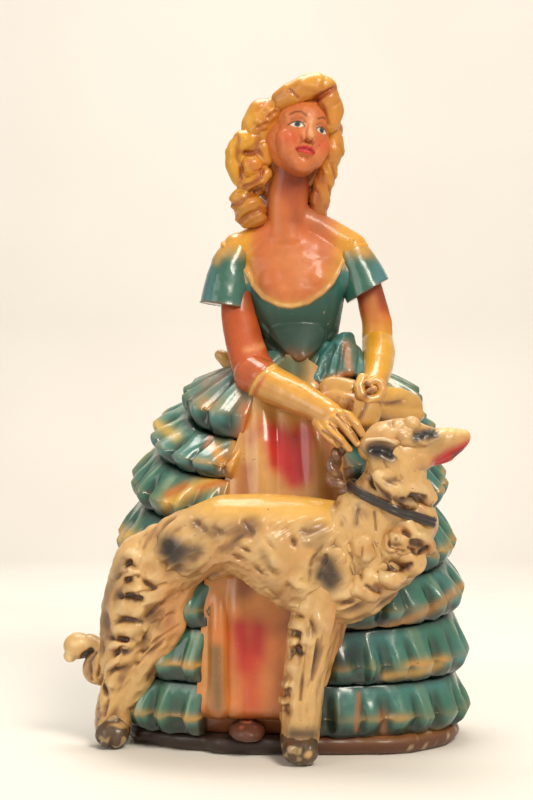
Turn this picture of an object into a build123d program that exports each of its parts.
from build123d import *
import os
from math import cos, hypot, pi, sin

# A hollow-cast plaster figure: a lady in a flounced gown, with a tall long-haired hound across her front.
# Millimetres, +Z up. The origin is on the table under the axis of the gown, and the lady faces -Y.
# She is divided where the sculptor's modelled pieces meet, and each smaller piece is cut to its neighbours.

os.makedirs("parts", exist_ok=True)

# Driving sizes of the gown
gown_half_width = 100
gown_half_depth = 63
waist_height = 222
base_height = 9
base_inset = 7
pour_hole_radius = 16
flounce_overhang = 3
joint_gap = 0.2

# Driving sizes of the lady
lady_height = 381
torso_height = 72
shoulder_half_width = 36
chest_half_depth = 21
bodice_thickness = 1.2
neck_radius = 11
arm_radius = 11
sleeve_half_width = 14
hand_length = 24
finger_radius = 2.4
head_half_height = 24

# Driving sizes of the hound
hound_length = 200
hound_height = 185
hound_half_depth = 20
leg_half_width = 12
paw_half_height = 9.5
collar_width = 6
leash_radius = 3.4

# One overrun serves every cut that has to pass right through
overrun = 20

# The gown's plan is an oval with full corners; these set how full, and how many points draw it
plan_squareness = 2.5
plan_points = 16


def write(part, name):
    """Writes the largest solid of a piece, which was cut to its neighbours, under its name."""
    solid = part.solids().sort_by(SortBy.VOLUME)[-1]
    solid.label = name
    export_step(solid, f"parts/{name}.step")


def cut_to(*neighbours):
    """Takes the neighbours' material away from the part that is being made."""
    for neighbour in neighbours:
        add(neighbour, mode=Mode.SUBTRACT)


def ball(centre, radius):
    """A round mass that joins the part that is being made."""
    with Locations(centre):
        Sphere(radius)


def limb(stations, across=(0, 1, 0)):
    """A tapering mass through (centre, half width, half depth) rings that stand square to their line."""
    centres = [Vector(*centre) for centre, _, _ in stations]
    rings = []
    for index, (_, half_width, half_depth) in enumerate(stations):
        before = centres[max(index - 1, 0)]
        after = centres[min(index + 1, len(centres) - 1)]
        along = (after - before).normalized()
        deep = (Vector(*across) - along * Vector(*across).dot(along)).normalized()
        with BuildSketch(Plane(centres[index], x_dir=deep.cross(along), z_dir=along)) as ring:
            Ellipse(half_width, half_depth)
        rings.append(ring.sketch)
    loft(sections=rings)


def plan_point(angle, half_width, half_depth):
    """Where the gown's outline is at an angle, in plan."""
    wide = abs(cos(angle)) ** (2 / plan_squareness) * half_width
    deep = abs(sin(angle)) ** (2 / plan_squareness) * half_depth
    return (wide if cos(angle) > 0 else -wide, deep if sin(angle) > 0 else -deep)


def gown_section(height, slope, half_width, half_depth, shift=0):
    """One closed section of the gown on a plane that falls towards the front by its slope."""
    points = []
    for number in range(plan_points):
        x, y = plan_point(2 * pi * number / plan_points, half_width, half_depth)
        points.append((shift + x, y * hypot(1, slope)))
    with BuildSketch(Plane((0, 0, height), x_dir=(1, 0, 0), z_dir=(0, -slope, 1))) as section:
        with BuildLine():
            Spline(*points, periodic=True)
        make_face()
    return section.sketch


def on_gown(x, y, z):
    """A point from its shares of the gown's half width, half depth and waist height."""
    return (x * gown_half_width, y * gown_half_depth, z * waist_height)


# Base: the flat foot of the casting, with the hole that the plaster was poured through and its plug.
plug_height_share = 0.8

with BuildPart() as base:
    loft(sections=[
        gown_section(height, 0, gown_half_width - base_inset, gown_half_depth - base_inset)
        for height in (0, base_height)
    ])
    with Locations((0, 0, base_height / 2)):
        Cylinder(pour_hole_radius, base_height + overrun, mode=Mode.SUBTRACT)

with BuildPart() as plug:
    Cylinder(pour_hole_radius, base_height * plug_height_share, align=(Align.CENTER, Align.CENTER, Align.MIN))

# Inside of the casting and outside of the bell under the flounces.
# Rows: height as a share of the waist's, width and depth as shares of the gown's.
hollow_shares = [(0.35, 0.76, 0.66), (0.58, 0.64, 0.56), (0.76, 0.47, 0.44), (0.87, 0.30, 0.30)]
hollow_foot_shares = (0.80, 0.68)
bell_shares = [(0.35, 0.85, 0.84), (0.58, 0.76, 0.76), (0.76, 0.62, 0.66), (0.90, 0.43, 0.50), (1.0, 0.23, 0.30)]
bell_foot_shares = (0.87, 0.87)


def bell_sections(foot_shares, shares):
    """The sections of a bell from the top of the base up."""
    rows = [(base_height / waist_height, *foot_shares), *shares]
    return [
        gown_section(waist_height * height, 0, gown_half_width * width, gown_half_depth * depth)
        for height, width, depth in rows
    ]


with BuildPart() as hollow:
    loft(sections=bell_sections(hollow_foot_shares, hollow_shares))

# Front panel: the underskirt that shows down the front, between the open edges of the flounces.
# Corners from the base up: shares of the gown's half width and of the waist's height.
panel_edge_shares = [
    (-0.50, -0.05), (-0.47, 0.18), (-0.41, 0.52), (-0.31, 0.685), (-0.24, 0.785), (-0.16, 0.90), (0.02, 0.96),
    (0.16, 0.90), (0.24, 0.72), (0.28, 0.58), (0.28, 0.29), (0.22, -0.05),
]

with BuildPart() as panel_gap:
    with BuildSketch(Plane.XZ):
        with BuildLine():
            Polyline(*[(x * gown_half_width, z * waist_height) for x, z in panel_edge_shares], close=True)
        make_face()
    extrude(amount=gown_half_depth + overrun)

with BuildPart() as panel:
    loft(sections=bell_sections(bell_foot_shares, bell_shares))
    add(panel_gap, mode=Mode.INTERSECT)
    cut_to(hollow)

# Flounces: seven tiers of cloth round the bell, from the waist down, open over the front panel.
# Rows: height of the seam below the tier and of its hem's edge, as shares of the waist's height,
# how far those two planes fall to the front, hem width, depth and sideways shift as shares of the gown's.
flounce_shares = [
    (0.838, 0.890, 0.42, 0.30, 0.673, 0.73, 0.047),
    (0.743, 0.793, 0.36, 0.36, 0.810, 0.857, 0.010),
    (0.613, 0.675, 0.26, 0.29, 0.897, 0.920, -0.017),
    (0.468, 0.522, 0.21, 0.22, 0.958, 0.968, -0.030),
    (0.340, 0.396, 0.15, 0.17, 0.980, 0.984, -0.005),
    (0.180, 0.234, 0.04, 0.07, 0.995, 1.0, 0.0),
    (0.0405, 0.0874, 0.0, 0.0, 1.0, 1.0, 0.0),
]
# Width and depth of the seams as shares of the gown's, from the waist down to the base
seam_shares = [
    (0.24, 0.30), (0.65, 0.70), (0.77, 0.81), (0.84, 0.873), (0.89, 0.912), (0.92, 0.936), (0.94, 0.944),
    (0.92, 0.91),
]
waist_seam_slope = 0.05

# The deepest of the folds between the pleats: each is a notch that opens and deepens from the seam to the hem
fold_spacing = 33
fold_depth = 5.5
fold_reach = 15
fold_half_opening = 13
fold_overrun_share = 1.5
outline_steps = 720


def fold_angles(half_width, half_depth):
    """Plan angles that step along a hem by about the spacing of the deep folds."""
    angles = [2 * pi * step / outline_steps for step in range(outline_steps + 1)]
    runs = [0]
    for angle, after in zip(angles, angles[1:]):
        step = Vector(*plan_point(after, half_width, half_depth)) - Vector(*plan_point(angle, half_width, half_depth))
        runs.append(runs[-1] + step.length)
    count = round(runs[-1] / fold_spacing)
    return [
        next(angle for angle, run in zip(angles, runs) if run >= runs[-1] * (number + 0.5) / count)
        for number in range(count)
    ]


def beside_panel(x, y):
    """Whether a fold at this place on a hem is clear of the open edges over the front panel."""
    return y > 0 or not -0.58 * gown_half_width < x < 0.36 * gown_half_width


def press_folds(top, hem, across):
    """Cuts the deep folds of one tier between its (height, slope, half width, half depth) outlines."""
    notches = []
    for angle in fold_angles(*hem[2:]):
        ahead, behind = (Vector(*plan_point(angle + turn, *hem[2:])) for turn in (0.02, -0.02))
        tangent = (ahead - behind).normalized()
        outward = tangent.cross(Vector(0, 0, 1))
        x, y = plan_point(angle, *top[2:])
        start = Vector(across + x, y, top[0] + top[1] * y) + outward
        x, y = plan_point(angle, *hem[2:])
        end = Vector(across + x, y, hem[0] + hem[1] * y) - outward * fold_depth
        if not beside_panel(across + x, y):
            continue
        along = (end - start).normalized()
        square = (tangent - along * tangent.dot(along)).normalized()
        with BuildSketch(Plane(start, x_dir=square, z_dir=along)) as notch:
            with BuildLine():
                Polyline((0, 0), (fold_half_opening, fold_reach), (-fold_half_opening, fold_reach), close=True)
            make_face()
        notches.append(extrude(notch.sketch, amount=(end - start).length * fold_overrun_share, mode=Mode.PRIVATE))
    add(notches, mode=Mode.SUBTRACT)


flounces = []
seam_above = (waist_height, waist_seam_slope)
for number, (seam, hem, seam_slope, hem_slope, hem_width, hem_depth, shift) in enumerate(flounce_shares):
    across = shift * gown_half_width
    top_width, top_depth = seam_shares[number]
    low_width, low_depth = seam_shares[number + 1]
    below = base_height if number == len(flounce_shares) - 1 else waist_height * seam
    hem_outline = (waist_height * hem, hem_slope, gown_half_width * hem_width, gown_half_depth * hem_depth)
    top_outline = (*seam_above, gown_half_width * top_width, gown_half_depth * top_depth)
    with BuildPart() as flounce:
        loft(sections=[
            gown_section(below, seam_slope, gown_half_width * low_width + flounce_overhang,
                         gown_half_depth * low_depth + flounce_overhang, across),
            gown_section(*hem_outline, across),
            gown_section(*top_outline, across),
        ], ruled=True)
        press_folds(top_outline, hem_outline, across)
        cut_to(hollow, panel_gap)
    flounces.append(flounce)
    seam_above = (below, seam_slope)

# Room that the gown takes up: what lies against it is cut to this, so that it rests on the hems of the flounces.
with BuildPart() as gown_room:
    room = [gown_section(-overrun, 0, gown_half_width + joint_gap, gown_half_depth + joint_gap)]
    for seam, hem, seam_slope, hem_slope, hem_width, hem_depth, shift in reversed(flounce_shares):
        room.append(gown_section(waist_height * hem, hem_slope, gown_half_width * hem_width + joint_gap,
                                 gown_half_depth * hem_depth + joint_gap, shift * gown_half_width))
    room.append(gown_section(waist_height + joint_gap, waist_seam_slope, gown_half_width * seam_shares[0][0],
                             gown_half_depth * seam_shares[0][1], flounce_shares[0][-1] * gown_half_width))
    loft(sections=room, ruled=True)

# Shoe: the toe of the lady's slipper, on the rim of the base under the front hem.
toe_half_width = 9
toe_half_height = 6
toe_heel = on_gown(-0.26, -0.70, 0.069)
toe_middle = on_gown(-0.26, -0.93, 0.069)
toe_tip = on_gown(-0.26, -1.06, 0.065)

with BuildPart() as shoe:
    limb([
        (toe_heel, toe_half_width * 0.9, toe_half_height),
        (toe_middle, toe_half_width, toe_half_height),
        (toe_tip, toe_half_width * 0.6, toe_half_height * 0.6),
    ], across=(0, 0, 1))
    cut_to(panel, base)


def on_torso(x, y, z):
    """A point from its shares of the shoulders' half width, the chest's half depth and the torso's height."""
    return (x * shoulder_half_width, y * chest_half_depth, waist_height + z * torso_height)


# Torso: from the waist seam to the shoulders.
# Rows: centre across, half width, centre deep, half depth and height, as shares of the torso's sizes.
torso_shares = [
    (0.12, 0.58, 0.0, 0.78, 0.0), (0.12, 0.54, 0.0, 0.75, 0.11), (0.10, 0.66, -0.05, 0.86, 0.27),
    (0.07, 0.79, -0.14, 0.98, 0.43), (0.04, 0.85, -0.10, 0.93, 0.57), (0.0, 0.92, -0.02, 0.78, 0.70),
    (-0.04, 0.98, 0.03, 0.62, 0.81), (-0.04, 0.84, 0.06, 0.50, 0.90), (-0.04, 0.40, 0.08, 0.42, 0.97),
]
# The scooped neckline, seen from the front, from the left shoulder to the right one
neckline_shares = [(-0.92, 0.80), (-0.72, 0.62), (-0.36, 0.43), (0.02, 0.35), (0.40, 0.45), (0.70, 0.63), (0.86, 0.80)]
neck_top_share = 1.38


def torso_sections(larger):
    """The torso's sections, larger by the thickness of the cloth."""
    sections = []
    for x, half_width, y, half_depth, z in torso_shares:
        with BuildSketch(Plane(on_torso(x, y, z))) as section:
            Ellipse(half_width * shoulder_half_width + larger, half_depth * chest_half_depth + larger)
        sections.append(section.sketch)
    return sections


with BuildPart() as neckline:
    with BuildSketch(Plane.XZ.offset(-gown_half_depth)):
        with BuildLine():
            scoop = Spline(*[(x * shoulder_half_width, waist_height + z * torso_height) for x, z in neckline_shares])
            Polyline(scoop @ 1, (shoulder_half_width + overrun, lady_height), (-shoulder_half_width - overrun, lady_height),
                     scoop @ 0)
        make_face()
    extrude(amount=2 * gown_half_depth)

with BuildPart() as bodice:
    loft(sections=torso_sections(bodice_thickness))
    cut_to(neckline)

with BuildPart() as chest:
    loft(sections=torso_sections(0))
    add(neckline, mode=Mode.INTERSECT)
    limb([
        (on_torso(-0.04, 0.05, 0.90), neck_radius * 1.3, neck_radius * 1.1),
        (on_torso(-0.03, 0.0, 1.10), neck_radius, neck_radius * 0.95),
        (on_torso(0.02, -0.05, neck_top_share), neck_radius * 0.95, neck_radius * 0.95),
    ])

# Sleeves: short caps that flare from the shoulders to their hems.
with BuildPart() as sleeve_left:
    limb([
        (on_torso(-0.72, 0.0, 0.83), sleeve_half_width * 0.5, sleeve_half_width * 0.6),
        (on_torso(-0.98, -0.05, 0.66), sleeve_half_width * 0.92, sleeve_half_width * 0.95),
        (on_torso(-1.08, -0.16, 0.34), sleeve_half_width * 1.05, sleeve_half_width * 1.05),
    ])
    cut_to(bodice, chest)

with BuildPart() as sleeve_right:
    limb([
        (on_torso(0.70, 0.0, 0.83), sleeve_half_width * 0.5, sleeve_half_width * 0.6),
        (on_torso(0.98, -0.05, 0.68), sleeve_half_width * 0.90, sleeve_half_width * 0.95),
        (on_torso(1.18, -0.14, 0.43), sleeve_half_width, sleeve_half_width),
    ])
    cut_to(bodice, chest)

# Arms: bare to below the elbow, then long gloves. The left one reaches across, the right one holds up the cloth.
left_elbow = on_torso(-0.52, -1.25, -0.18)
left_wrist = on_torso(0.36, -3.10, -0.48)
left_palm = on_torso(0.58, -3.38, -0.56)
right_elbow = on_torso(1.50, -0.25, 0.04)
right_wrist = on_torso(1.22, -2.10, -0.25)
right_fist = on_torso(1.14, -2.45, -0.31)
cloth_grip = on_torso(1.06, -2.55, -0.48)

with BuildPart() as arm_left:
    limb([
        (on_torso(-0.98, -0.14, 0.46), arm_radius * 0.92, arm_radius * 0.95),
        (on_torso(-0.92, -0.40, 0.18), arm_radius * 0.98, arm_radius),
        (on_torso(-0.74, -0.90, -0.08), arm_radius, arm_radius),
        (left_elbow, arm_radius * 1.05, arm_radius),
    ])
    cut_to(sleeve_left, bodice, gown_room)

with BuildPart() as arm_right:
    limb([
        (on_torso(1.17, -0.14, 0.50), arm_radius * 0.86, arm_radius * 0.9),
        (on_torso(1.32, -0.20, 0.30), arm_radius * 0.88, arm_radius * 0.9),
        (right_elbow, arm_radius * 0.88, arm_radius * 0.9),
    ])
    cut_to(sleeve_right, bodice, gown_room)

# Hands in gloves: an open palm with four fingers and a thumb, and a fist that is closed round the gathered cloth.
knuckle_line_shares = (0.36, -0.10)
finger_start_shares = [(0.30, 0.22), (0.36, 0.08), (0.38, -0.07), (0.34, -0.20)]
finger_reach_shares = [(0.70, -0.24), (0.68, -0.36), (0.60, -0.47), (0.48, -0.55)]
thumb_reach_shares = (0.05, -0.52)


def on_palm(x, z, y=0.0):
    """A point beside the left palm, in shares of the hand's length."""
    return (left_palm[0] + x * hand_length, left_palm[1] + y * hand_length, left_palm[2] + z * hand_length)


with BuildPart() as hand_left:
    limb([
        (left_wrist, hand_length * 0.26, hand_length * 0.25),
        (left_palm, hand_length * 0.36, hand_length * 0.20),
        (on_palm(*knuckle_line_shares), hand_length * 0.34, hand_length * 0.16),
    ])
    for (x0, z0), (x1, z1) in zip(finger_start_shares, finger_reach_shares):
        limb([
            (on_palm(x0 - 0.2, z0, 0.0), finger_radius, finger_radius),
            (on_palm(x0 / 2 + x1 / 2, z0 / 2 + z1 / 2, -0.04), finger_radius, finger_radius),
            (on_palm(x1, z1, 0.02), finger_radius * 0.8, finger_radius * 0.8),
        ])
    limb([
        (on_palm(-0.25, -0.1), finger_radius * 1.1, finger_radius * 1.1),
        (on_palm(*thumb_reach_shares), finger_radius * 0.85, finger_radius * 0.85),
    ])
    cut_to(gown_room)

fist_radius_share = 0.36
knuckle_shares = [(-0.24, 0.16), (-0.05, 0.24), (0.14, 0.20), (0.28, 0.08)]

with BuildPart() as hand_right:
    ball(right_fist, fist_radius_share * hand_length)
    for x, z in knuckle_shares:
        ball((right_fist[0] + x * hand_length, right_fist[1] - hand_length / 5, right_fist[2] + z * hand_length),
             finger_radius * 1.5)
    cut_to(gown_room)

with BuildPart() as glove_left:
    limb([
        (left_elbow, arm_radius * 1.1, arm_radius * 1.05),
        (on_torso(-0.14, -2.1, -0.31), arm_radius * 0.90, arm_radius * 0.90),
        (left_wrist, arm_radius * 0.60, arm_radius * 0.62),
    ])
    cut_to(hand_left, arm_left, gown_room)

with BuildPart() as glove_right:
    limb([
        (right_elbow, arm_radius * 0.9, arm_radius * 0.92),
        (on_torso(1.46, -0.95, -0.12), arm_radius * 0.82, arm_radius * 0.85),
        (right_wrist, arm_radius * 0.62, arm_radius * 0.62),
    ])
    cut_to(hand_right, arm_right, gown_room)

# Gathered cloth below the fist, the ruffle at the waist beside it, and the sash end at the back.
with BuildPart() as gather:
    ball(cloth_grip, hand_length * 0.42)
    cut_to(hand_right, hand_left, glove_left, gown_room)

with BuildPart() as ruffle:
    limb([
        (on_torso(0.30, -0.55, -0.03), sleeve_half_width * 0.45, sleeve_half_width * 0.5),
        (on_torso(0.70, -0.90, -0.12), sleeve_half_width * 0.7, sleeve_half_width * 0.7),
        (on_torso(1.05, -1.15, -0.24), sleeve_half_width * 0.6, sleeve_half_width * 0.8),
    ])
    cut_to(gown_room, bodice)

with BuildPart() as sash_end:
    ball(on_torso(-1.12, 0.50, -0.06), sleeve_half_width * 0.5)
    cut_to(gown_room, arm_left)


def on_head(x, y, z):
    """A point from its shares of the head's half height, counted from the middle of the skull."""
    return (head_middle[0] + x * head_half_height, head_middle[1] + y * head_half_height,
            head_middle[2] + z * head_half_height)


# Head: one mass from the chin up through the cheeks and brow to the skull, tilted to the right, with a nose.
# Rows: centre, half width and half depth as shares of the head's half height.
head_middle = (shoulder_half_width * 0.11, -chest_half_depth * 0.20, lady_height - head_half_height * 1.55)
head_shares = [
    ((-0.21, -0.36, -0.96), 0.20, 0.20), ((-0.17, -0.30, -0.76), 0.42, 0.44), ((-0.11, -0.20, -0.48), 0.56, 0.62),
    ((-0.02, -0.06, -0.10), 0.68, 0.80), ((0.06, 0.02, 0.30), 0.70, 0.84), ((0.14, 0.08, 0.66), 0.56, 0.70),
    ((0.18, 0.10, 0.86), 0.28, 0.36),
]
nose_shares = ((-0.02, -0.84, -0.18), 0.13)

with BuildPart() as head:
    limb([(on_head(*centre), wide * head_half_height, deep * head_half_height) for centre, wide, deep in head_shares])
    ball(on_head(*nose_shares[0]), nose_shares[1] * head_half_height)
    cut_to(chest)

# Hair: a smooth crown, a high roll over the brow, curls down both sides and the fall at the back.
# Rows: centre and radius as shares of the head's half height.
crown_shares = [((-0.02, 0.34, 0.36), 0.90), ((-0.55, 0.10, 0.45), 0.50)]
roll_shares = [((-0.20, -0.50, 0.98), 0.40), ((0.38, -0.50, 1.08), 0.41), ((0.66, -0.38, 0.72), 0.38)]
curls_left_shares = [
    ((-1.12, -0.08, 0.18), 0.48), ((-1.28, -0.06, -0.42), 0.46), ((-1.12, 0.02, -0.98), 0.42),
    ((-1.22, 0.02, -1.54), 0.45),
]
curls_right_shares = [
    ((0.80, -0.02, 0.14), 0.33), ((0.74, 0.05, -0.34), 0.32), ((0.60, 0.18, -0.84), 0.32), ((0.46, 0.30, -1.32), 0.32),
]
back_hair_shares = [
    ((-0.15, 0.35, -0.20), 0.86), ((-0.35, 0.40, -0.85), 0.66), ((0.10, 0.45, -0.85), 0.58), ((-0.55, 0.35, -1.30), 0.45),
]


def lumps(shares):
    """Adds a row of round masses that sit round the head."""
    for centre, radius in shares:
        ball(on_head(*centre), radius * head_half_height)


with BuildPart() as hair_back:
    lumps(back_hair_shares)
    cut_to(head, chest, bodice)

with BuildPart() as hair_crown:
    lumps(crown_shares)
    cut_to(head, hair_back, chest)

with BuildPart() as hair_roll:
    lumps(roll_shares)
    cut_to(head, hair_crown)

with BuildPart() as curls_left:
    lumps(curls_left_shares)
    cut_to(head, hair_crown, hair_back, chest, bodice)

with BuildPart() as curls_right:
    lumps(curls_right_shares)
    cut_to(head, hair_crown, hair_back, hair_roll, chest)


def on_hound(x, y, z):
    """A point from its shares of the hound's length and height and the depth of the gown in front of the axis."""
    return (x * hound_length, -y * gown_half_depth, z * hound_height)


def hound_rings(shares):
    """Rings for a limb: centre shares, then half width as a share of height and half depth of the hound's."""
    return [
        (on_hound(x, y, z), half_width * hound_height, half_depth * hound_half_depth)
        for x, y, z, half_width, half_depth in shares
    ]


# Hound: it stands across the front of the gown with its head to the right.
body_shares = [
    (-0.36, 0.86, 0.60, 0.090, 0.85), (-0.30, 0.92, 0.61, 0.113, 0.95), (-0.185, 0.98, 0.662, 0.111, 0.95),
    (-0.09, 1.03, 0.643, 0.135, 1.0), (0.01, 1.06, 0.600, 0.173, 1.0), (0.125, 1.08, 0.573, 0.184, 1.0),
    (0.21, 1.09, 0.565, 0.130, 0.9),
]
hind_leg_shares = [
    (-0.30, 0.86, 0.60, 0.105, 0.80), (-0.40, 0.76, 0.545, 0.128, 0.85), (-0.455, 0.66, 0.405, 0.108, 0.75),
    (-0.48, 0.56, 0.27, 0.068, 0.55), (-0.495, 0.49, 0.16, 0.054, 0.48), (-0.505, 0.45, 0.06, 0.057, 0.48),
]
front_leg_shares = [
    (0.075, 1.05, 0.50, 0.078, 1.0), (0.045, 1.05, 0.36, 0.070, 1.0), (0.025, 1.05, 0.24, 0.060, 0.9),
    (0.013, 1.06, 0.08, 0.055, 0.8),
]
neck_shares = [
    (0.165, 1.10, 0.62, 0.150, 0.92), (0.215, 1.14, 0.72, 0.115, 0.88), (0.250, 1.18, 0.80, 0.098, 0.78),
    (0.270, 1.20, 0.88, 0.086, 0.66),
]
mane_shares = [((0.225, 1.00, 0.605), 0.130), ((0.310, 1.12, 0.690), 0.074)]
muzzle_shares = [
    (0.205, 1.20, 0.905, 0.045, 0.40), (0.240, 1.20, 0.915, 0.076, 0.56), (0.285, 1.20, 0.922, 0.078, 0.58),
    (0.330, 1.20, 0.918, 0.072, 0.54), (0.370, 1.19, 0.905, 0.053, 0.42), (0.413, 1.18, 0.913, 0.044, 0.36),
    (0.450, 1.17, 0.922, 0.037, 0.30), (0.470, 1.17, 0.924, 0.018, 0.15),
]
tail_shares = [
    (-0.475, 0.52, 0.30, 0.036, 0.35), (-0.530, 0.47, 0.240, 0.046, 0.42), (-0.580, 0.43, 0.235, 0.046, 0.42),
    (-0.625, 0.40, 0.265, 0.040, 0.38), (-0.640, 0.39, 0.310, 0.016, 0.15),
]
ear_shares = [(0.195, 1.34, 0.925, 0.020, 0.24), (0.222, 1.38, 0.905, 0.034, 0.28), (0.252, 1.36, 0.875, 0.018, 0.18)]
# Paws: how far to the side and forward they stand, as shares of the hound's length and the gown's depth
front_paw_shares = (0.013, 1.17)
hind_paw_shares = (-0.502, 0.46)


def paw(shares):
    """A rounded foot that points forward and stands on the table."""
    x, y = shares
    heel = (x * hound_length, -y * gown_half_depth + leg_half_width, paw_half_height)
    ball_of_foot = (x * hound_length, -y * gown_half_depth, paw_half_height)
    toes = (x * hound_length, -y * gown_half_depth - leg_half_width, paw_half_height * 0.7)
    limb([
        (heel, leg_half_width * 0.9, paw_half_height * 0.98),
        (ball_of_foot, leg_half_width, paw_half_height * 0.98),
        (toes, leg_half_width * 0.7, paw_half_height * 0.6),
    ], across=(0, 0, 1))


with BuildPart() as hound_body:
    limb(hound_rings(body_shares))
    cut_to(gown_room)

with BuildPart() as hind_leg:
    limb(hound_rings(hind_leg_shares))
    cut_to(gown_room, hound_body)

with BuildPart() as hind_paw:
    paw(hind_paw_shares)
    cut_to(gown_room, hind_leg)

with BuildPart() as front_leg:
    limb(hound_rings(front_leg_shares))
    cut_to(gown_room, hound_body)

with BuildPart() as front_paw:
    paw(front_paw_shares)
    cut_to(gown_room, front_leg)

with BuildPart() as mane:
    for centre, radius in mane_shares:
        ball(on_hound(*centre), radius * hound_length)
    cut_to(gown_room, hound_body, front_leg)

with BuildPart() as neck:
    limb(hound_rings(neck_shares))
    cut_to(gown_room, hound_body, mane)

with BuildPart() as hound_head:
    limb(hound_rings(muzzle_shares))
    cut_to(gown_room, neck, hand_left)

with BuildPart() as ear:
    limb(hound_rings(ear_shares))
    cut_to(hound_head, neck)

with BuildPart() as tail:
    limb(hound_rings(tail_shares))
    cut_to(gown_room, hind_leg)

# Collar and leash: a band round the neck and the short run of cord up to the lady's hand.
collar_middle = on_hound(0.255, 1.175, 0.735)
collar_half_shares = (0.132, 1.05)

with BuildPart() as collar:
    with BuildSketch(Plane(collar_middle, x_dir=(1, 0, -0.48), z_dir=(0.48, 0, 1))):
        Ellipse(collar_half_shares[0] * hound_height, collar_half_shares[1] * hound_half_depth)
    extrude(amount=collar_width / 2, both=True)
    cut_to(neck, mane, gown_room)

with BuildPart() as leash:
    limb([
        (on_hound(0.118, 1.17, 0.895), leash_radius, leash_radius),
        (on_hound(0.100, 1.13, 0.835), leash_radius, leash_radius),
        (on_hound(0.125, 1.13, 0.79), leash_radius, leash_radius),
        (on_hound(0.165, 1.16, 0.77), leash_radius * 1.2, leash_radius * 1.2),
    ])
    cut_to(hand_left, neck, hound_body, collar, hound_head, gown_room)

write(base.part, "base")
write(plug.part, "pour_hole_plug")
write(panel.part, "front_panel")
for number, flounce in enumerate(flounces):
    write(flounce.part, f"flounce_{number + 1}")
write(shoe.part, "shoe")
write(bodice.part, "bodice")
write(chest.part, "chest_and_neck")
write(sleeve_left.part, "sleeve_left")
write(sleeve_right.part, "sleeve_right")
write(arm_left.part, "arm_left")
write(arm_right.part, "arm_right")
write(glove_left.part, "glove_left")
write(glove_right.part, "glove_right")
write(hand_left.part, "hand_left")
write(hand_right.part, "hand_right")
write(gather.part, "gathered_cloth")
write(ruffle.part, "waist_ruffle")
write(sash_end.part, "sash_end")
write(head.part, "head")
write(hair_back.part, "hair_back")
write(hair_crown.part, "hair_crown")
write(hair_roll.part, "hair_front_roll")
write(curls_left.part, "hair_curls_left")
write(curls_right.part, "hair_curls_right")
write(hound_body.part, "hound_body")
write(hind_leg.part, "hound_hind_leg")
write(hind_paw.part, "hound_hind_paw")
write(front_leg.part, "hound_front_leg")
write(front_paw.part, "hound_front_paw")
write(mane.part, "hound_mane")
write(neck.part, "hound_neck")
write(hound_head.part, "hound_head")
write(ear.part, "hound_ear")
write(tail.part, "hound_tail")
write(collar.part, "hound_collar")
write(leash.part, "hound_leash")
